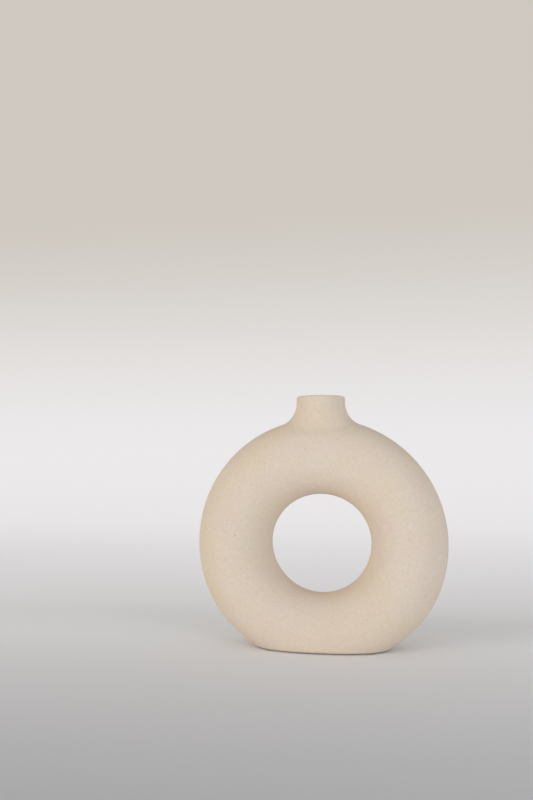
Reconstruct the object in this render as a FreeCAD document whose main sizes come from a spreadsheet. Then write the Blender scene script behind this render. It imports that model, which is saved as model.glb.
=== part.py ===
"""Ring-shaped stoneware vase with a short flared neck and a flat foot.

Millimetres, +Z up. The origin is on the floor, under the middle of the foot. The ring stands in the
XZ plane with its axis along Y, and its front faces -Y.

A closed hollow ring is built from two half shells. They meet at the ring's middle plane on a seam of
slip, the collar is luted on over the opening at the top, and a slab is luted under the flattened
bottom. Four felt pads are stuck under the foot.
"""

import FreeCAD, Part
import os
import Sketcher

SHEET = "Sizes"

# Driving dimensions: alias, value in mm, and what it is.
SIZES = [
    ("ring_radius", 87.1, "ring axis to the centre line of the tube"),
    ("tube_radius", 37.4, "outside radius of the tube"),
    ("foot_cut", 22.2, "height of the ring's bottom that is cut off flat for the foot"),
    ("wall", 5.5, "stoneware wall of the ring and the neck"),
    ("neck_radius", 24.5, "outside radius of the neck"),
    ("neck_rise", 21.2, "lip above the crown of the ring"),
    ("flare_radius", 21.5, "outside blend between neck and ring"),
    ("lip_radius", 2.5, "rounding of both edges of the lip"),
    ("collar_lift", 1.5, "collar joint above the crown of the ring"),
    ("foot_slab_height", 8, "thickness of the slab under the ring"),
    ("foot_round", 5, "rounding between the ring and the foot"),
    ("slip", 1, "thickness of each seam of joining slip"),
    ("pad_radius", 6, "radius of a felt pad"),
    ("pad_height", 1, "thickness of a felt pad"),
    ("pad_end_inset", 23, "tip of the foot's flat to a pad's centre"),
    ("pad_side_inset", 16.5, "side of the foot's flat to a pad's centre"),
    ("overcut", 5, "how far the cutting shapes reach past the clay"),
]

# Levels and lengths that several pieces share, worked out from the driving dimensions.
LEVELS = [
    ("foot_drop", "=ring_radius + tube_radius - foot_cut", "ring axis down to the foot's underside"),
    ("ring_height", "=foot_drop + pad_height", "ring axis above the floor"),
    ("crown", "=ring_height + ring_radius + tube_radius", "top of the ring, without its neck"),
    ("rim", "=crown + neck_rise", "top of the lip"),
    ("floor_level", "=pad_height + foot_slab_height", "top of the foot slab"),
    ("collar_level", "=crown + collar_lift", "underside of the collar's slip seam"),
    ("bore_radius", "=neck_radius - wall", "inside radius of the neck"),
    ("throat_radius", "=flare_radius + wall", "inside blend, which keeps the wall even"),
    ("reach", "=ring_radius + tube_radius + overcut", "just past the ring, all round"),
    ("foot_half_length", "=sqrt((ring_radius + tube_radius)^2 - foot_drop^2)", "half length of the foot"),
    ("foot_half_depth", "=sqrt(tube_radius^2 - (foot_drop - ring_radius)^2)", "half depth of the foot"),
]


def make_sheet(doc):
    """The spreadsheet with every size, one row each: value or formula, and a note."""
    sheet = doc.addObject("Spreadsheet::Sheet", SHEET)
    for row, (alias, value, note) in enumerate(SIZES + LEVELS, start=1):
        cell = f"B{row}"
        sheet.set(f"A{row}", alias)
        sheet.set(cell, str(value))
        sheet.setAlias(cell, alias)
        sheet.set(f"C{row}", note)
    doc.recompute()
    return sheet


def sized(formula):
    """The formula with each size's name replaced by its place in the sheet."""
    names = sorted((row[0] for row in SIZES + LEVELS), key=len, reverse=True)
    words = formula.replace("(", " ( ").replace(")", " ) ").split()
    return " ".join(f"{SHEET}.{word}" if word in names else word for word in words)


def bind(thing, **formulas):
    """Binds properties to formulas. A double underscore in a name stands for a dot."""
    for name, formula in formulas.items():
        thing.setExpression(name.replace("__", "."), sized(formula))


def make_body(doc, name):
    return doc.addObject("PartDesign::Body", name)


def origin_plane(body, role):
    return next(feature for feature in body.Origin.OriginFeatures if feature.Role == role)


def add_sketch(body, name, plane, axis, offset):
    """An empty sketch on one of the body's origin planes, moved along one of its own axes."""
    sketch = body.newObject("Sketcher::SketchObject", name)
    sketch.AttachmentSupport = (origin_plane(body, plane), [""])
    sketch.MapMode = "FlatFace"
    sketch.setExpression(f"AttachmentOffset.Base.{axis}", sized(offset))
    return sketch


def constrain(sketch, name, formula, *constraint):
    """Adds a dimension to a sketch, named and bound to a formula."""
    index = sketch.addConstraint(Sketcher.Constraint(*constraint))
    sketch.renameConstraint(index, name)
    sketch.setExpression(f"Constraints.{name}", sized(formula))


def add_circle(sketch, radius, drop=None):
    """A circle on the sketch's vertical axis: at the origin, or dropped below it by a formula."""
    sketch.addGeometry(Part.Circle(FreeCAD.Vector(0, -10, 0), FreeCAD.Vector(0, 0, 1), 10), False)
    if drop is None:
        sketch.addConstraint(Sketcher.Constraint("Coincident", 0, 3, -1, 1))
    else:
        sketch.addConstraint(Sketcher.Constraint("PointOnObject", 0, 3, -2))
        constrain(sketch, "drop", drop, "DistanceY", 0, 3, -1, 1, 10)
    constrain(sketch, "radius", radius, "Radius", 0, 10)


def edges_where(feature, wanted):
    """Names of the feature's edges for which wanted(edge, kinds of the faces beside it) is true."""
    shape = feature.Shape
    names = []
    for number, edge in enumerate(shape.Edges, start=1):
        kinds = {type(face.Surface).__name__ for face in shape.ancestorsOfType(edge, Part.Face)}
        if wanted(edge, kinds):
            names.append(f"Edge{number}")
    return names


def add_fillet(body, name, base, wanted, radius):
    doc = body.Document
    doc.recompute()
    fillet = body.newObject("PartDesign::Fillet", name)
    fillet.Base = (base, edges_where(base, wanted))
    bind(fillet, Radius=radius)
    doc.recompute()
    return fillet


def level_edge(level):
    """A test for edges that lie at one height."""
    return lambda edge, kinds: max(abs(v.Z - level) for v in edge.Vertexes) < 1e-3 and abs(
        edge.BoundBox.ZLength
    ) < 1e-2


def lip_edge(level):
    """A test for the round edges of the neck's top."""
    at_level = level_edge(level)
    return lambda edge, kinds: "Cylinder" in kinds and at_level(edge, kinds)


def neck_edge(edge, kinds):
    """A test for the edge where a neck or a bore leaves the ring."""
    return kinds == {"Toroid", "Cylinder"}


def add_ring(body, name, kind, tube_radius):
    """A ring around the vase's axis, added or taken away as the kind of feature says.

    The tube's circle is drawn at the bottom, so that the seams of the revolved surface stay clear
    of the neck.
    """
    circle = add_sketch(body, f"{name}_circle", "YZ_Plane", "y", "ring_height")
    add_circle(circle, tube_radius, drop="ring_radius")
    ring = body.newObject(f"PartDesign::{kind}", name)
    ring.Profile = circle
    ring.ReferenceAxis = (circle, ["H_Axis"])
    ring.Angle = 360
    return ring


def add_neck(body, name, kind, radius, start, end):
    """A round neck or bore on the vase's middle, between two levels."""
    circle = add_sketch(body, f"{name}_circle", "XY_Plane", "z", start)
    add_circle(circle, radius)
    neck = body.newObject(f"PartDesign::{kind}", name)
    neck.Profile = circle
    span = (end, start) if kind == "Pad" else (start, end)
    bind(neck, Length=f"{span[0]} - ( {span[1]} )")
    return neck


def cut_beyond(body, name, plane, level, upward):
    """Cuts off what lies past a level of the body: above or behind it, or below or before it."""
    facing = {"XY_Plane": 1, "XZ_Plane": -1}[plane]
    circle = add_sketch(body, f"{name}_circle", plane, "z", f"{facing} * ( {level} )")
    add_circle(circle, "3 * reach")
    cut = body.newObject("PartDesign::Pocket", name)
    cut.Profile = circle
    cut.Type = "ThroughAll"
    cut.Reversed = upward == (facing > 0)
    body.Document.recompute()
    if not 0 < cut.Shape.Volume < cut.BaseFeature.Shape.Volume:
        raise RuntimeError(f"{name} took nothing away, or everything")
    return cut


def make_clay_body(doc, sheet, label, front=None, back=None):
    """The thrown clay between two depths: ring and neck, hollow, throat and rounded lip.

    The clay is parted before its edges are blended, so that no joint cuts across a closed blend.
    """
    body = make_body(doc, label)
    add_ring(body, f"{label}_ring", "Revolution", "tube_radius")
    neck = add_neck(body, f"{label}_neck", "Pad", "neck_radius", "ring_height + ring_radius", "rim")
    part = neck
    if back:
        part = cut_beyond(body, f"{label}_back_joint", "XZ_Plane", back, True)
    if front:
        part = cut_beyond(body, f"{label}_front_joint", "XZ_Plane", front, False)
    add_fillet(body, f"{label}_flare", part, neck_edge, "flare_radius")
    add_ring(body, f"{label}_hollow", "Groove", "tube_radius - wall")
    bore = add_neck(body, f"{label}_bore", "Pocket", "bore_radius", "rim", "ring_height + ring_radius")
    throat = add_fillet(body, f"{label}_throat", bore, neck_edge, "throat_radius")
    add_fillet(body, f"{label}_lip", throat, lip_edge(sheet.rim), "lip_radius")
    return body


def mirror_to_whole(body):
    """Completes a body that was made as its front half."""
    mirrored = body.newObject("PartDesign::Mirrored", f"{body.Label}_whole")
    mirrored.TransformMode = "Whole shape"
    mirrored.MirrorPlane = (origin_plane(body, "XZ_Plane"), [""])
    body.Tip = mirrored


def make_ring_pieces(doc, sheet):
    """The two half shells and the slip between them, from the foot's seam to the collar's."""
    pieces = []
    for label, front, back in (
        ("front_half_shell", None, "-0.5 * slip"),
        ("back_half_shell", "0.5 * slip", None),
        ("ring_seam_slip", None, "0"),
    ):
        body = make_clay_body(doc, sheet, label, front, back)
        cut_beyond(body, f"{label}_foot_joint", "XY_Plane", "floor_level + slip", False)
        cut_beyond(body, f"{label}_collar_joint", "XY_Plane", "collar_level", True)
        pieces.append(body)
    slip = pieces[-1]
    cut_beyond(slip, "ring_slip_face", "XZ_Plane", "-0.5 * slip", False)
    mirror_to_whole(slip)
    return pieces


def make_collar_pieces(doc, sheet):
    """The neck collar and the slip that it is luted on with."""
    slip = make_clay_body(doc, sheet, "neck_seam_slip", back="0")
    cut_beyond(slip, "neck_slip_underside", "XY_Plane", "collar_level", False)
    cut_beyond(slip, "neck_slip_top", "XY_Plane", "collar_level + slip", True)
    mirror_to_whole(slip)
    collar = make_clay_body(doc, sheet, "neck_collar", back="0")
    cut_beyond(collar, "collar_joint", "XY_Plane", "collar_level + slip", False)
    mirror_to_whole(collar)
    return [slip, collar]


def make_foot_pieces(doc, sheet):
    """The slab that closes the ring's underside, rounded at the foot, and the slip on top of it."""
    slab = make_body(doc, "foot_slab")
    add_ring(slab, "slab_ring", "Revolution", "tube_radius")
    cut_beyond(slab, "slab_underside", "XY_Plane", "pad_height", False)
    top = cut_beyond(slab, "slab_top", "XY_Plane", "floor_level", True)
    add_fillet(slab, "foot_edge", top, level_edge(sheet.pad_height), "foot_round")

    slip = make_body(doc, "foot_seam_slip")
    add_ring(slip, "foot_slip_ring", "Revolution", "tube_radius")
    add_ring(slip, "foot_slip_hollow", "Groove", "tube_radius - wall")
    cut_beyond(slip, "foot_slip_underside", "XY_Plane", "floor_level", False)
    cut_beyond(slip, "foot_slip_top", "XY_Plane", "floor_level + slip", True)
    return [slab, slip]


def make_pads(doc):
    """Four felt pads under the corners of the foot, as one group of separate solids."""
    pads = []
    for side, across in (("left", -1), ("right", 1)):
        for face, along in (("front", -1), ("back", 1)):
            pad = doc.addObject("Part::Cylinder", f"{face}_{side}_pad")
            bind(
                pad,
                Radius="pad_radius",
                Height="pad_height",
                Placement__Base__x=f"{across} * ( foot_half_length - pad_end_inset )",
                Placement__Base__y=f"{along} * ( foot_half_depth - pad_side_inset )",
            )
            pads.append(pad)
    group = doc.addObject("Part::Compound", "foot_pads")
    group.Links = pads
    return group


def check(doc, pieces):
    """Stops if any object failed, or a piece is empty or not valid."""
    failed = [o.Label for o in doc.Objects if {"Invalid", "Error"} & set(o.State)]
    if failed:
        raise RuntimeError(f"these objects failed: {failed}")
    for piece in pieces:
        shape = piece.Shape
        if shape.isNull() or not shape.isValid() or not shape.Solids:
            raise RuntimeError(f"{piece.Label} has no valid solid")


def main():
    doc = FreeCAD.newDocument("ring_vase")
    sheet = make_sheet(doc)
    pieces = [
        *make_ring_pieces(doc, sheet),
        *make_collar_pieces(doc, sheet),
        *make_foot_pieces(doc, sheet),
        make_pads(doc),
    ]
    doc.recompute()
    check(doc, pieces)
    os.makedirs("parts", exist_ok=True)
    for piece in pieces:
        piece.Shape.exportStep(f"parts/{piece.Label}.step")
        box = piece.Shape.optimalBoundingBox(False)
        print(
            f"{piece.Label}: {len(piece.Shape.Solids)} solids, {piece.Shape.Volume:.0f} mm3,"
            f" x {box.XMin:.2f} {box.XMax:.2f}, y {box.YMin:.2f} {box.YMax:.2f},"
            f" z {box.ZMin:.2f} {box.ZMax:.2f}"
        )


main()
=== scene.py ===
"""Ring-shaped stoneware vase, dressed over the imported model.

The fired clay is one smooth surface: a slightly squashed hollow ring, a flared neck and a rounded
foot. It is written as a distance field in millimetres, meshed, and parted along the joints of the
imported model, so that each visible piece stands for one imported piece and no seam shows.
"""

import math

import bmesh
import bpy
import numpy as np
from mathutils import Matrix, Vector


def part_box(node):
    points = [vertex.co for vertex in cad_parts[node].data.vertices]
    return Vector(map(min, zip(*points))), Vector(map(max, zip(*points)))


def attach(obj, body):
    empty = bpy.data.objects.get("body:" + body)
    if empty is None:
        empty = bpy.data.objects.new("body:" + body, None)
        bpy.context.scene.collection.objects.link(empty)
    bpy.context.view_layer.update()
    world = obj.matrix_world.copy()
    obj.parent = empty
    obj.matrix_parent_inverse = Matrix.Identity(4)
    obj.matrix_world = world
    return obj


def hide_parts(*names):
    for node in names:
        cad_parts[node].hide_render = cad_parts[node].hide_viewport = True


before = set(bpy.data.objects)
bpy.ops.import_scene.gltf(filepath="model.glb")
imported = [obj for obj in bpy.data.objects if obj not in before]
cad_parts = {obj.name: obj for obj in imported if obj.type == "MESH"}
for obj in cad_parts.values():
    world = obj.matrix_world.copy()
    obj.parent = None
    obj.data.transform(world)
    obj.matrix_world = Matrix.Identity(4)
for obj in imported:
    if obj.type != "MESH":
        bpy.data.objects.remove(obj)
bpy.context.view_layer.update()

MM = 0.001


def box_mm(node):
    """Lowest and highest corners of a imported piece, in millimetres."""
    low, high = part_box(node)
    return np.array(low) / MM, np.array(high) / MM


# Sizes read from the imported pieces.
SHELL_LOW, SHELL_HIGH = box_mm("front_half_shell")
SLAB_LOW, SLAB_HIGH = box_mm("foot_slab")
COLLAR_LOW, COLLAR_HIGH = box_mm("neck_collar")
TUBE = -SHELL_LOW[1]
RING = SHELL_HIGH[0] - TUBE
HALF_SLIP = -SHELL_HIGH[1]
UNDERSIDE = SLAB_LOW[2]
SLAB_TOP = SLAB_HIGH[2]
SHELL_BOTTOM = SHELL_LOW[2]
SHELL_TOP = SHELL_HIGH[2]
COLLAR_BOTTOM = COLLAR_LOW[2]
RIM = COLLAR_HIGH[2]

# Sizes that no box gives, as they are in the part's source.
AXIS_HEIGHT = 103.3
WALL = 5.5
NECK = 24.5
FLARE = 21.5
LIP_ROUND = 2.5
FOOT_ROUND = 5.0
PAD_RADIUS = 6.0

# How the fired piece departs from the true form, never past its box: the ring stands a little less
# high than wide, its tube is fuller at the top of the hole and slimmer at the bottom, the outside
# is drawn in towards the foot, and the surface wavers.
SQUASH = 1.009
TOP_FILL = 0.03
BOTTOM_THIN = 0.022
DRAWN_IN = 1.7
WOBBLE = 0.25

RING_STEP = 1.25
NECK_STEP = 0.6
SLAB_STEP = 1.0
MARGIN = 3

# How near to a joint a point of the mesh is moved onto it, as a share of the step.
SNAP = 0.34


# ---------------------------------------------------------------- distance fields


def ease(value, low, high):
    """A smooth step from 0 at low to 1 at high."""
    share = np.clip((value - low) / (high - low), 0, 1)
    return share * share * (3 - 2 * share)


def ring_field(x, y, z, tube):
    """Distance to the tube's surface, and the direction away from it."""
    down = (z - AXIS_HEIGHT) * SQUASH
    path = np.maximum(np.hypot(x, down), 1e-6)
    slope = np.hypot(x, SQUASH * down) / path
    out = (path - RING) / slope
    rise = down / path
    fill = 1 + np.where(rise > 0, TOP_FILL, -BOTTOM_THIN) * rise**2
    out = np.where(out < 0, out / fill, out + DRAWN_IN * ease(-rise, 0.5, 0.8))
    away = np.maximum(np.hypot(out, y), 1e-6)
    scale = out / (away * path * slope)
    return away - tube, np.stack([x * scale, y / away, SQUASH * down * scale])


def neck_field(x, y, z, radius):
    """The same for an upright round bar on the vase's middle."""
    away = np.maximum(np.hypot(x, y), 1e-6)
    return away - radius, np.stack([x / away, y / away, np.zeros_like(z)])


def plane_field(z, level, side):
    """The same for a level plane, with its solid below it (side 1) or above it (side -1)."""
    normal = np.zeros((3,) + z.shape)
    normal[2] = side
    return side * (z - level), normal


def roll(first, first_way, second, second_way, radius, inside):
    """Joins two fields with a ball of this radius rolled along their meeting line.

    The ball fills the corner between them (a union), or rounds their edge off (inside).
    """
    turn = 1 if inside else -1
    across = np.clip((first_way * second_way).sum(0), -0.999, 0.999)
    u = radius + turn * first
    w = radius + turn * second
    one = (u - across * w) / (1 - across**2)
    two = (w - across * u) / (1 - across**2)
    rolled = (one > 0) & (two > 0)
    reach = np.sqrt(np.maximum((u * one + w * two), 1e-12))
    plain = np.maximum(first, second) if inside else np.minimum(first, second)
    value = np.where(rolled, turn * (reach - radius), plain)
    way = (one * first_way + two * second_way) / reach
    nearer = first >= second if inside else first <= second
    way = np.where(rolled, way, np.where(nearer, first_way, second_way))
    return value, way


def vessel(x, y, z, tube, neck, flare):
    """Ring and neck, blended. The neck counts only above the middle of the tube at the top."""
    ring, ring_way = ring_field(x, y, z, tube)
    bar, bar_way = neck_field(x, y, z, neck)
    value, way = roll(ring, ring_way, bar, bar_way, flare, inside=False)
    high = z > AXIS_HEIGHT + RING / SQUASH
    return np.where(high, value, ring), np.where(high, way, ring_way)


def wobble(x, y, z):
    """Slow unevenness of a hand-finished surface, from 0 to 1."""
    waves = (
        np.sin(0.071 * x + 0.043 * z + 1.3) * np.sin(0.057 * z - 0.031 * x + 0.4)
        + 0.7 * np.sin(0.113 * z + 0.049 * y + 2.1) * np.sin(0.097 * x - 0.083 * y)
        + 0.35 * np.sin(0.21 * x + 0.17 * y + 0.6) * np.sin(0.19 * z - 0.23 * y + 1.9)
    )
    return 0.5 + 0.5 * waves / 2.05


def clay_outside(x, y, z):
    """The outside of the vase down to its rounded foot, without the lip."""
    value, way = vessel(x, y, z, TUBE, NECK, FLARE)
    value = value + WOBBLE * wobble(x, y, z)
    foot, foot_way = plane_field(z, UNDERSIDE, -1)
    return roll(value, way, foot, foot_way, FOOT_ROUND, inside=True)


def clay_solid(p):
    """The outside alone, for the slab that closes the ring."""
    return clay_outside(*p)[0]


def clay_hollow(p):
    """The hollow vase with its rounded lip."""
    x, y, z = p
    outside, out_way = clay_outside(x, y, z)
    cavity, in_way = vessel(x, y, z, TUBE - WALL, NECK - WALL, FLARE + WALL)
    thick = outside >= -cavity
    value = np.where(thick, outside, -cavity)
    way = np.where(thick, out_way, -in_way)
    top, top_way = plane_field(z, RIM, 1)
    return roll(value, way, top, top_way, LIP_ROUND, inside=True)[0]


def slope_of(field, points):
    """Gradient of a field at each point, by central differences."""
    eps = 0.01
    p = points.T
    slopes = []
    for axis in range(3):
        shift = np.zeros((3, 1))
        shift[axis] = eps
        slopes.append((field(p + shift) - field(p - shift)) / (2 * eps))
    return np.stack(slopes, axis=1)


# ---------------------------------------------------------------- meshing


def surface_net(field, low, high, step):
    """Points and four-sided faces of the surface where the field is zero, inside a box."""
    axes = [np.arange(a, b + step, step) for a, b in zip(low, high)]
    grid = np.stack(np.meshgrid(*axes, indexing="ij"))
    values = field(grid.reshape(3, -1)).reshape(grid.shape[1:])
    solid = values < 0
    cells = np.array(values.shape) - 1
    total = np.zeros((int(cells.prod()), 3))
    count = np.zeros(int(cells.prod()))
    corners = []
    for axis in range(3):
        near = tuple(slice(0, -1) if a == axis else slice(None) for a in range(3))
        far = tuple(slice(1, None) if a == axis else slice(None) for a in range(3))
        node = np.argwhere(solid[near] != solid[far])
        start, end = values[near][tuple(node.T)], values[far][tuple(node.T)]
        place = np.stack([axes[a][node[:, a]] for a in range(3)], axis=1)
        place[:, axis] += step * start / (start - end)
        u, v = (axis + 1) % 3, (axis + 2) % 3
        inner = np.all([(node[:, a] > 0) & (node[:, a] < cells[a]) for a in (u, v)], axis=0)
        node, place, outward = node[inner], place[inner], start[inner] < 0
        ring = []
        for back_u, back_v in ((1, 1), (0, 1), (0, 0), (1, 0)):
            cell = node.copy()
            cell[:, u] -= back_u
            cell[:, v] -= back_v
            flat = np.ravel_multi_index(tuple(cell.T), tuple(cells))
            for a in range(3):
                total[:, a] += np.bincount(flat, place[:, a], minlength=len(count))
            count += np.bincount(flat, minlength=len(count))
            ring.append(flat)
        face = np.stack(ring, axis=1)
        corners.append(np.where(outward[:, None], face, face[:, ::-1]))
    used = np.flatnonzero(count)
    number = np.full(len(count), -1)
    number[used] = np.arange(len(used))
    return total[used] / count[used, None], number[np.concatenate(corners)]


def settle(field, points, held, rounds=4):
    """Moves points onto the surface. A held coordinate keeps its value."""
    for _ in range(rounds):
        slope = np.where(held, 0, slope_of(field, points))
        size = np.maximum((slope**2).sum(1), 0.05)
        move = -(field(points.T) / size)[:, None] * slope
        points = points + np.clip(move, -1, 1)
    return points


def relax(points, faces):
    """Moves each point half way to the mean of its neighbours."""
    ends = np.concatenate([faces[:, [i, (i + 1) % 4]] for i in range(4)])
    ends = np.concatenate([ends, ends[:, ::-1]])
    mean = np.stack(
        [np.bincount(ends[:, 0], points[ends[:, 1], a], minlength=len(points)) for a in range(3)],
        axis=1,
    )
    count = np.bincount(ends[:, 0], minlength=len(points))[:, None]
    return 0.5 * points + 0.5 * mean / np.maximum(count, 1)


def clay_mesh(field, low, high, step, joints):
    """An even mesh of the clay. Points near a joint are moved onto it, so that it cuts cleanly.

    Joints are (axis, levels).
    """
    points, faces = surface_net(field, low, high, step)
    free = np.zeros(points.shape, bool)
    for _ in range(3):
        points = settle(field, relax(points, faces), free, rounds=2)
    held = free.copy()
    for axis, levels in joints:
        levels = np.array(levels)
        gap = np.abs(points[:, axis, None] - levels)
        nearest = gap.argmin(1)
        close = gap.min(1) < SNAP * step
        points[close, axis] = levels[nearest[close]]
        held[close, axis] = True
    return settle(field, points, held), faces


def part_mesh(name, field, points, faces, cuts):
    """One piece of the clay: the mesh, cut at each joint and closed there with flat faces.

    Cuts are (axis, level, side): what lies on that side of the level is cut off. A rim that runs on
    into another joint has loose ends when it is filled, and is left open inside the joint.
    """
    keep = np.ones(len(faces), bool)
    for axis, level, side in cuts:
        keep &= (side * (points[faces, axis] - level)).min(1) < 1e-6
    faces = faces[keep]
    used, faces = np.unique(faces, return_inverse=True)
    faces = faces.reshape(-1, 4)
    bm = bmesh.new()
    verts = [bm.verts.new(p) for p in points[used]]
    for face in faces:
        bm.faces.new([verts[i] for i in face])
    bm.normal_update()
    flat = bm.faces.layers.int.new("flat")
    for axis, level, side in cuts:
        normal = Vector((0, 0, 0))
        normal[axis] = side
        place = Vector((0, 0, 0))
        place[axis] = level
        bmesh.ops.bisect_plane(
            bm,
            geom=bm.verts[:] + bm.edges[:] + bm.faces[:],
            dist=1e-5,
            plane_co=place,
            plane_no=normal,
            clear_outer=True,
        )
        rim = [
            edge
            for edge in bm.edges
            if edge.is_boundary and all(abs(vert.co[axis] - level) < 1e-4 for vert in edge.verts)
        ]
        filled = bmesh.ops.triangle_fill(bm, edges=rim, use_beauty=True, normal=normal)
        for item in filled["geom"]:
            if isinstance(item, bmesh.types.BMFace):
                item[flat] = 1
                item.normal_update()
                if item.normal.dot(normal) < 0:
                    item.normal_flip()
    bm.verts.index_update()
    mesh = bpy.data.meshes.new(name)
    bm.to_mesh(mesh)
    open_edges = sum(not e.is_manifold for e in bm.edges)
    bm.free()
    if open_edges:
        print(f"{name}: {open_edges} open edges")

    count = len(mesh.vertices)
    place = np.empty(count * 3)
    mesh.vertices.foreach_get("co", place)
    place = place.reshape(-1, 3)
    smooth = slope_of(field, place)
    smooth /= np.linalg.norm(smooth, axis=1)[:, None]
    owner = np.empty(len(mesh.loops), int)
    mesh.loops.foreach_get("vertex_index", owner)
    is_flat = np.empty(len(mesh.polygons), int)
    mesh.attributes["flat"].data.foreach_get("value", is_flat)
    sides = np.empty(len(mesh.polygons), int)
    mesh.polygons.foreach_get("loop_total", sides)
    facing = np.empty(len(mesh.polygons) * 3)
    mesh.polygons.foreach_get("normal", facing)
    facing = np.repeat(facing.reshape(-1, 3), sides, axis=0)
    normals = np.where(np.repeat(is_flat, sides)[:, None] > 0, facing, smooth[owner])
    mesh.vertices.foreach_set("co", (place * MM).ravel())
    mesh.polygons.foreach_set("use_smooth", is_flat == 0)
    mesh.normals_split_custom_set(normals)
    mesh.attributes.remove(mesh.attributes["flat"])
    mesh.update()
    return mesh


# ---------------------------------------------------------------- materials


# The mix node has sockets of one name for each kind of data. These are the ones for colours.
MIX_FIRST, MIX_SECOND, MIX_RESULT = 6, 7, 2


class Nodes:
    """A short way to build a material's node tree. Lengths are in metres."""

    def __init__(self, name):
        self.material = bpy.data.materials.new(name)
        self.material.use_nodes = True
        self.tree = self.material.node_tree
        self.shader = self.tree.nodes["Principled BSDF"]
        self.coords = self.add("ShaderNodeTexCoord").outputs["Object"]

    def add(self, kind, inputs=None, **settings):
        node = self.tree.nodes.new(kind)
        for name, value in settings.items():
            setattr(node, name, value)
        for name, value in (inputs or {}).items():
            self.set(node.inputs[name], value)
        return node

    def set(self, socket, value):
        if isinstance(value, bpy.types.NodeSocket):
            self.tree.links.new(value, socket)
        else:
            socket.default_value = value

    def noise(self, scale, detail=2.0, roughness=0.5):
        inputs = {"Vector": self.coords, "Scale": scale, "Detail": detail, "Roughness": roughness}
        return self.add("ShaderNodeTexNoise", inputs).outputs["Fac"]

    def cells(self, scale, channel):
        """A tiling of small cells: the distance to each one's middle, and a value of its own."""
        cells = self.add("ShaderNodeTexVoronoi", {"Vector": self.coords, "Scale": scale}).outputs
        parts = self.add("ShaderNodeSeparateColor", {"Color": cells["Color"]}).outputs
        return cells["Distance"], parts[channel]

    def span(self, value, low, high, to_low, to_high, ramp="LINEAR"):
        """Maps a value from one range to another, and holds it there."""
        inputs = {"Value": value, "From Min": low, "From Max": high}
        inputs |= {"To Min": to_low, "To Max": to_high}
        return self.add("ShaderNodeMapRange", inputs, interpolation_type=ramp).outputs["Result"]

    def math(self, operation, first, second=0.0):
        node = self.add("ShaderNodeMath", {0: first, 1: second}, operation=operation)
        return node.outputs["Value"]

    def mix(self, factor, first, second, blend="MIX"):
        inputs = {"Factor": factor, MIX_FIRST: first, MIX_SECOND: second}
        node = self.add("ShaderNodeMix", inputs, data_type="RGBA", blend_type=blend)
        return node.outputs[MIX_RESULT]

    def bump(self, height, strength, distance, normal=None):
        inputs = {"Height": height, "Strength": strength, "Distance": distance}
        if normal is not None:
            inputs["Normal"] = normal
        return self.add("ShaderNodeBump", inputs).outputs["Normal"]


def rgb(red, green, blue):
    """A colour given as it shows on a screen, 0 to 255."""

    def linear(value):
        value /= 255
        return value / 12.92 if value <= 0.04045 else ((value + 0.055) / 1.055) ** 2.4

    return (linear(red), linear(green), linear(blue), 1.0)


def stoneware():
    """Matte sandy clay, fired without glaze, with soft clouds of warmer and pinker colour."""
    n = Nodes("sandy_stoneware")
    body = rgb(225, 210, 192)
    warm = rgb(224, 207, 180)
    pink = rgb(225, 205, 191)
    clouds = n.span(n.noise(15.0, 3.0, 0.55), 0.40, 0.64, 0.0, 0.55)
    blush = n.span(n.noise(34.0, 2.0, 0.5), 0.45, 0.70, 0.0, 0.45)
    colour = n.mix(blush, n.mix(clouds, body, warm), pink)

    # Sand in the clay: grains under 1 mm, a little lighter or darker than the body, in patches.
    from_grain, shade = n.cells(1300.0, "Red")
    grain = n.noise(1500.0, 2.0, 0.6)
    shade = n.span(shade, 0.0, 1.0, -0.045, 0.03)
    tone = n.math("ADD", shade, n.span(grain, 0.3, 0.7, -0.035, 0.035))
    tone = n.math("MULTIPLY", tone, n.span(n.noise(110.0), 0.35, 0.65, 0.45, 1.0))
    tone = n.math("ADD", tone, n.span(n.noise(380.0, 1.0), 0.35, 0.65, -0.02, 0.02))
    tone = n.math("ADD", 1.0, tone)
    inputs = {"Red": tone, "Green": tone, "Blue": tone}
    tint = n.add("ShaderNodeCombineColor", inputs).outputs["Color"]
    colour = n.mix(1.0, colour, tint, "MULTIPLY")

    # Sparse darker specks: smaller faint ones, and fewer that are larger and a little stronger.
    for scale, share, strength, speck_tone in (
        (330.0, 0.84, 0.30, rgb(178, 158, 136)),
        (190.0, 0.93, 0.38, rgb(160, 136, 110)),
    ):
        from_speck, chosen = n.cells(scale, "Green")
        near = n.span(from_speck, 0.05, 0.20, 1.0, 0.0)
        speck = n.math("MULTIPLY", near, n.span(chosen, share, share + 0.04, 0.0, strength))
        colour = n.mix(speck, colour, speck_tone)
    n.set(n.shader.inputs["Base Color"], colour)

    n.set(n.shader.inputs["Roughness"], n.span(grain, 0.3, 0.7, 0.84, 0.97))
    n.shader.inputs["Specular IOR Level"].default_value = 0.2
    height = n.math("ADD", n.span(from_grain, 0.0, 0.7, 0.6, 0.0), grain)
    fine = n.bump(height, 0.3, 0.0001)
    n.set(n.shader.inputs["Normal"], n.bump(n.noise(260.0), 0.22, 0.0003, fine))
    return n.material


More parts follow.
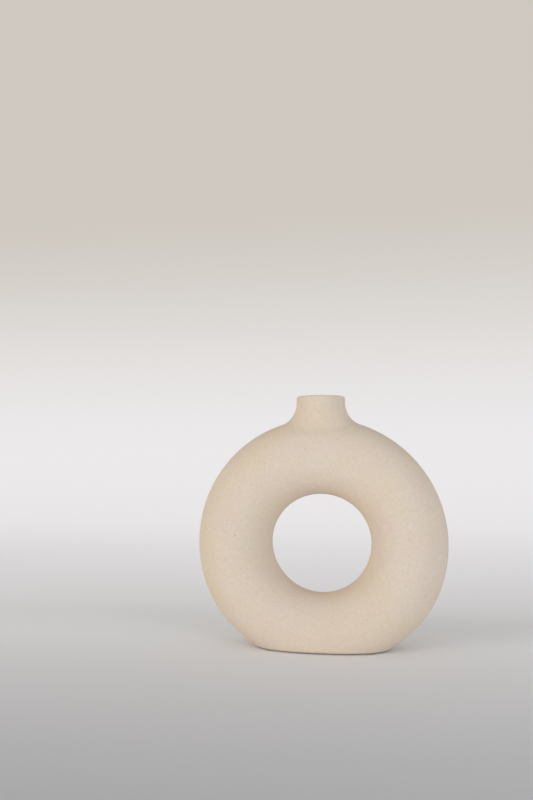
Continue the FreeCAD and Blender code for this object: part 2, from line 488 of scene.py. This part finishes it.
def felt():
    """Warm grey pressed felt, of tangled fibres in two shades."""
    n = Nodes("grey_felt")
    fibres = n.noise(2400.0, 3.0, 0.7)
    tangle = n.noise(900.0, 2.0, 0.6)
    colour = n.mix(n.span(fibres, 0.3, 0.7, 0.0, 1.0), rgb(132, 122, 111), rgb(166, 156, 143))
    colour = n.mix(n.span(tangle, 0.35, 0.7, 0.0, 0.5), colour, rgb(143, 133, 121))
    n.set(n.shader.inputs["Base Color"], colour)
    n.shader.inputs["Roughness"].default_value = 0.95
    n.shader.inputs["Sheen Weight"].default_value = 0.3
    n.shader.inputs["Specular IOR Level"].default_value = 0.1
    height = n.math("ADD", fibres, tangle)
    n.set(n.shader.inputs["Normal"], n.bump(height, 0.7, 0.0003))
    return n.material


# ---------------------------------------------------------------- pieces


def place_piece(mesh, name, material, node):
    """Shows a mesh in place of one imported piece."""
    piece = bpy.data.objects.new(name, mesh)
    bpy.context.scene.collection.objects.link(piece)
    mesh.materials.append(material)
    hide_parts(node)
    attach(piece, "root")


def make_clay():
    """Every piece of fired clay, from three meshes: the ring, the neck and the slab."""
    clay = stoneware()
    y, z = 1, 2
    below, above = -1, 1
    far = SHELL_HIGH[0] + MARGIN
    deep = TUBE + MARGIN
    wide = NECK + FLARE

    ring = [(z, SHELL_BOTTOM, below), (z, SHELL_TOP, above)]
    ring_pieces = (
        ("front_half_shell", "stoneware", ring + [(y, -HALF_SLIP, above)]),
        ("back_half_shell", "stoneware", ring + [(y, HALF_SLIP, below)]),
        ("ring_seam_slip", "slip", ring + [(y, -HALF_SLIP, below), (y, HALF_SLIP, above)]),
        ("foot_seam_slip", "slip", [(z, SLAB_TOP, below), (z, SHELL_BOTTOM, above)]),
    )
    neck_pieces = (
        ("neck_seam_slip", "slip", [(z, SHELL_TOP, below), (z, COLLAR_BOTTOM, above)]),
        ("neck_collar", "stoneware", [(z, COLLAR_BOTTOM, below)]),
    )
    slab_pieces = (("foot_slab", "stoneware", [(z, SLAB_TOP, above)]),)

    # Each mesh has its field, its box, its step and its joints. The box reaches a little past the
    # joints, and past the underside.
    for field, low, high, step, joints, pieces in (
        (
            clay_hollow,
            (-far, -deep, SLAB_TOP - 4),
            (far, deep, SHELL_TOP + 4),
            RING_STEP,
            [(y, (-HALF_SLIP, HALF_SLIP)), (z, (SLAB_TOP, SHELL_BOTTOM, SHELL_TOP))],
            ring_pieces,
        ),
        (
            clay_hollow,
            (-wide, -wide, SHELL_TOP - 2),
            (wide, wide, RIM + 2),
            NECK_STEP,
            [(z, (SHELL_TOP, COLLAR_BOTTOM))],
            neck_pieces,
        ),
        (
            clay_solid,
            (-far, -deep, UNDERSIDE - 2.3),
            (far, deep, SLAB_TOP + 3),
            SLAB_STEP,
            [(z, (SLAB_TOP,))],
            slab_pieces,
        ),
    ):
        points, faces = clay_mesh(field, low, high, step, joints)
        for node, slot, cuts in pieces:
            mesh = part_mesh(node + "_mesh", field, points, faces, cuts)
            place_piece(mesh, "fired_" + node, clay, node)


# Rings of points on a pad from its top to its underside: share of its radius, share of its height.
PAD_RINGS = (
    *((0.30, 1.0), (0.62, 1.0), (0.86, 1.0), (0.95, 0.985), (0.985, 0.90), (1.0, 0.72), (1.0, 0.5)),
    *((1.0, 0.28), (0.985, 0.10), (0.95, 0.015), (0.86, 0.0), (0.62, 0.0), (0.30, 0.0)),
)
PAD_SECTORS = 72

# How far the edge lies inside a true circle, and how strongly it wavers, in millimetres.
PAD_SLACK = 0.12
PAD_RAGGED = 0.035


def pad_point(number, centre, angle, share, level, height):
    """A point on a felt pad, whose edge is cut a little unevenly."""
    ragged = math.sin(7 * angle + number) + math.sin(17 * angle + 2.3 * number + 9 * level)
    ragged += math.sin(29 * angle + 1.7 * number + 5 * level)
    radius = (PAD_RADIUS - PAD_SLACK + PAD_RAGGED * ragged) * share
    x = centre[0] + radius * math.cos(angle)
    y = centre[1] + radius * math.sin(angle)
    return x, y, height * level


def make_pads():
    """Four felt discs with soft, slightly ragged edges."""
    low, high = box_mm("foot_pads")
    height = high[2] - low[2]
    middle = high - PAD_RADIUS
    centres = [(sx * middle[0], sy * middle[1]) for sx in (-1, 1) for sy in (-1, 1)]
    bm = bmesh.new()
    for number, centre in enumerate(centres):
        top = bm.verts.new((*centre, height))
        bottom = bm.verts.new((*centre, 0))
        loops = []
        for share, level in PAD_RINGS:
            angles = [2 * math.pi * i / PAD_SECTORS for i in range(PAD_SECTORS)]
            loop = [pad_point(number, centre, angle, share, level, height) for angle in angles]
            loops.append([bm.verts.new(point) for point in loop])
        for i in range(PAD_SECTORS):
            j = (i + 1) % PAD_SECTORS
            bm.faces.new((top, loops[0][i], loops[0][j]))
            bm.faces.new((bottom, loops[-1][j], loops[-1][i]))
            for upper, lower in zip(loops, loops[1:]):
                bm.faces.new((upper[i], lower[i], lower[j], upper[j]))
    bmesh.ops.scale(bm, vec=(MM, MM, MM), verts=bm.verts)
    for face in bm.faces:
        face.smooth = True
    mesh = bpy.data.meshes.new("felt_pads_mesh")
    bm.to_mesh(mesh)
    bm.free()
    place_piece(mesh, "felt_pads", felt(), "foot_pads")


# ---------------------------------------------------------------- stage, light and camera


# The sheet: flat from its front edge to the turn behind the vase, then bent up into a wall. Metres.
SHEET_FRONT = -6.0
SHEET_TURN = 1.2
SHEET_BEND = 0.7
SHEET_TOP = 3.2
SHEET_HALF_WIDTH = 6.0
BEND_STEPS = 24

# Its tones as they show: the floor near the camera and by the vase, the wall low and high. The
# floor is painted darker towards the camera, and the wall darker and warmer up high: painted shade.
# For all light that isn't seen directly it has one tone.
NEAR_FLOOR_PAINTED_SHADE = rgb(200, 201, 205)
FLOOR_TONE = rgb(250, 251, 255)
LOW_WALL_TONE = rgb(238, 236, 237)
HIGH_WALL_PAINTED_SHADE = rgb(206, 200, 192)
SHEET_TONE = rgb(246, 246, 246)
BLACK = rgb(0, 0, 0)


def pale_sheet():
    """A matte sheet that glows in a pale tone away from the vase, where it is seen directly.

    So the backdrop puts no more light on the vase, and the floor round it keeps its shadow.
    """
    n = Nodes("pale_sweep")
    place = n.add("ShaderNodeSeparateXYZ", {"Vector": n.coords}).outputs
    x, y, z = place["X"], place["Y"], place["Z"]
    length = n.add("ShaderNodeVectorMath", {"Vector": n.coords}, operation="LENGTH")

    # Painted shade: the floor's colour darkens towards the camera.
    floor = n.mix(n.span(y, -0.42, 0.02, 0.0, 1.0), NEAR_FLOOR_PAINTED_SHADE, FLOOR_TONE)
    # Painted shade: the wall's colour turns darker and warmer up high, fading out towards the
    # sides.
    high = n.span(z, 0.1, 1.1, 0.0, 1.0, "SMOOTHSTEP")
    high = n.math("MULTIPLY", high, n.span(n.math("ABSOLUTE", x), 1.4, 2.8, 1.0, 0.0))
    wall = n.mix(high, LOW_WALL_TONE, HIGH_WALL_PAINTED_SHADE)

    behind = n.math("POWER", n.span(y, 0.15, 1.9, 0.0, 1.0), 0.6)
    in_front = n.span(y, 0.0, 0.8, 1.0, 0.0)
    away = n.math("MULTIPLY", n.span(length.outputs["Value"], 0.75, 1.4, 0.0, 1.0), in_front)
    glow = n.math("MAXIMUM", behind, away)
    rays = n.add("ShaderNodeLightPath").outputs
    direct = n.math("MAXIMUM", rays["Is Camera Ray"], rays["Is Glossy Ray"])
    direct = n.math("MAXIMUM", direct, rays["Is Transmission Ray"])

    shown = n.mix(glow, floor, BLACK)
    n.set(n.shader.inputs["Base Color"], n.mix(direct, SHEET_TONE, shown))
    n.set(n.shader.inputs["Emission Color"], wall)
    n.set(n.shader.inputs["Emission Strength"], n.math("MULTIPLY", glow, direct))
    n.shader.inputs["Roughness"].default_value = 0.95
    n.shader.inputs["Specular IOR Level"].default_value = 0.1
    return n.material


def make_stage():
    """A plain pale sheet that runs up from the floor behind the vase."""
    profile = [(SHEET_FRONT, 0.0), (SHEET_TURN, 0.0)]
    for i in range(1, BEND_STEPS + 1):
        angle = math.pi / 2 * i / BEND_STEPS
        y = SHEET_TURN + SHEET_BEND * math.sin(angle)
        profile.append((y, SHEET_BEND * (1 - math.cos(angle))))
    profile.append((SHEET_TURN + SHEET_BEND, SHEET_TOP))
    edges = (-SHEET_HALF_WIDTH, SHEET_HALF_WIDTH)
    bm = bmesh.new()
    rows = [[bm.verts.new((x, y, z)) for x in edges] for y, z in profile]
    for near, far in zip(rows, rows[1:]):
        face = bm.faces.new((near[0], near[1], far[1], far[0]))
        face.smooth = True
    mesh = bpy.data.meshes.new("sweep_mesh")
    bm.to_mesh(mesh)
    bm.free()
    mesh.materials.append(pale_sheet())
    sweep = bpy.data.objects.new("sweep", mesh)
    bpy.context.scene.collection.objects.link(sweep)


def add_lamp(name, place, target, size, watts, colour):
    """A square soft lamp at a place, turned to a target."""
    data = bpy.data.lights.new(name, "AREA")
    data.shape = "SQUARE"
    data.size = size
    data.energy = watts
    data.color = colour
    lamp = bpy.data.objects.new(name, data)
    lamp.location = place
    lamp.rotation_mode = "QUATERNION"
    lamp.rotation_quaternion = (Vector(target) - lamp.location).to_track_quat("-Z", "Y")
    bpy.context.scene.collection.objects.link(lamp)


# Strength of the room's light, and of the room as the camera sees it beyond the sheet. The ceiling
# is a little warmer and dimmer than the walls.
ROOM_LIGHT = 0.575
ROOM_SHOWN = 0.845
WALLS = (1.0, 1.0, 1.0, 1.0)
CEILING = (0.85, 0.81, 0.73, 1.0)


def make_room():
    """Even light from all round."""
    world = bpy.data.worlds.new("studio")
    bpy.context.scene.world = world
    world.use_nodes = True
    nodes, link = world.node_tree.nodes, world.node_tree.links.new
    background = nodes["Background"]

    direction = nodes.new("ShaderNodeTexCoord").outputs["Generated"]
    place = nodes.new("ShaderNodeSeparateXYZ")
    link(direction, place.inputs["Vector"])
    tint = nodes.new("ShaderNodeMix")
    tint.data_type = "RGBA"
    tint.inputs[MIX_FIRST].default_value = WALLS
    tint.inputs[MIX_SECOND].default_value = CEILING
    link(place.outputs["Z"], tint.inputs["Factor"])
    link(tint.outputs[MIX_RESULT], background.inputs["Color"])

    strength = nodes.new("ShaderNodeMapRange")
    strength.inputs["To Min"].default_value = ROOM_LIGHT
    strength.inputs["To Max"].default_value = ROOM_SHOWN
    link(nodes.new("ShaderNodeLightPath").outputs["Is Camera Ray"], strength.inputs["Value"])
    link(strength.outputs["Result"], background.inputs["Strength"])


def make_light():
    """A large soft lamp from the left, and a small cooler one from the right."""
    make_room()
    add_lamp(
        "key",
        place=(-1.5, -1.5, 0.45),
        target=(0, 0, 0.07),
        size=1.0,
        watts=14.8,
        colour=(1.0, 0.97, 0.97),
    )
    add_lamp(
        "fill",
        place=(1.1, -1.1, 0.16),
        target=(0, 0, 0.04),
        size=0.3,
        watts=5.8,
        colour=(0.86, 0.96, 1.18),
    )


def make_camera():
    """The photograph's view: a little right of the middle, below the rim, looking up slightly."""
    data = bpy.data.cameras.new("camera")
    data.lens = 37.0
    data.sensor_width = 36.0
    data.clip_start = 0.05
    data.clip_end = 20.0
    camera = bpy.data.objects.new("camera", data)
    camera.location = (0.0850, -0.8268, 0.1922)
    heading = (-0.1677, 0.9858)
    pitch = 0.0642
    level = math.cos(pitch)
    forward = Vector((heading[0] * level, heading[1] * level, math.sin(pitch)))
    camera.rotation_mode = "QUATERNION"
    camera.rotation_quaternion = forward.to_track_quat("-Z", "Y")
    bpy.context.scene.collection.objects.link(camera)
    bpy.context.scene.camera = camera


make_camera()
make_clay()
make_pads()
make_stage()
make_light()
bpy.context.scene.view_settings.view_transform = "Standard"

bpy.context.view_layer.update()
